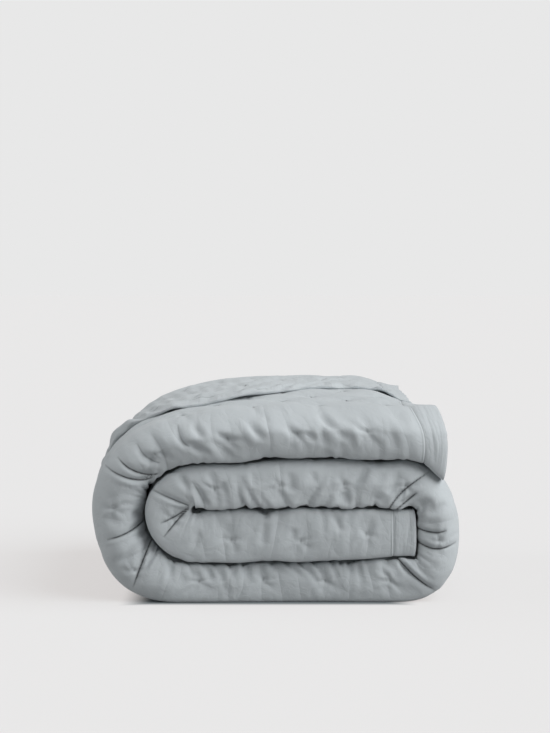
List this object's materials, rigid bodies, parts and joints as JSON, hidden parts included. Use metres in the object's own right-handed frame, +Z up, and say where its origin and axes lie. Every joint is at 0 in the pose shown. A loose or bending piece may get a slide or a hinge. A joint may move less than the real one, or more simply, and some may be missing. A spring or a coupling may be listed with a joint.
{
  "type": "rolled linen quilt",
  "caption": "Padded linen quilt with tacked quilting and a flat sewn border, folded lengthwise and rolled up flat to lie on a shelf or bed.",
  "frame": {"origin": "on the surface that the roll lies on, under the middle of its box", "axes": "+Z up, -Y towards the front fold, where the spiral of the roll shows, and +X towards the quilt's free outer end"},
  "size_m": [0.558, 0.6368, 0.3076],
  "materials": {
    "linen": "washed plain-weave linen, matt, pale blue-grey"
  },
  "bodies": {
    "root": {"quilt": "linen"}
  },
  "joints": []
}
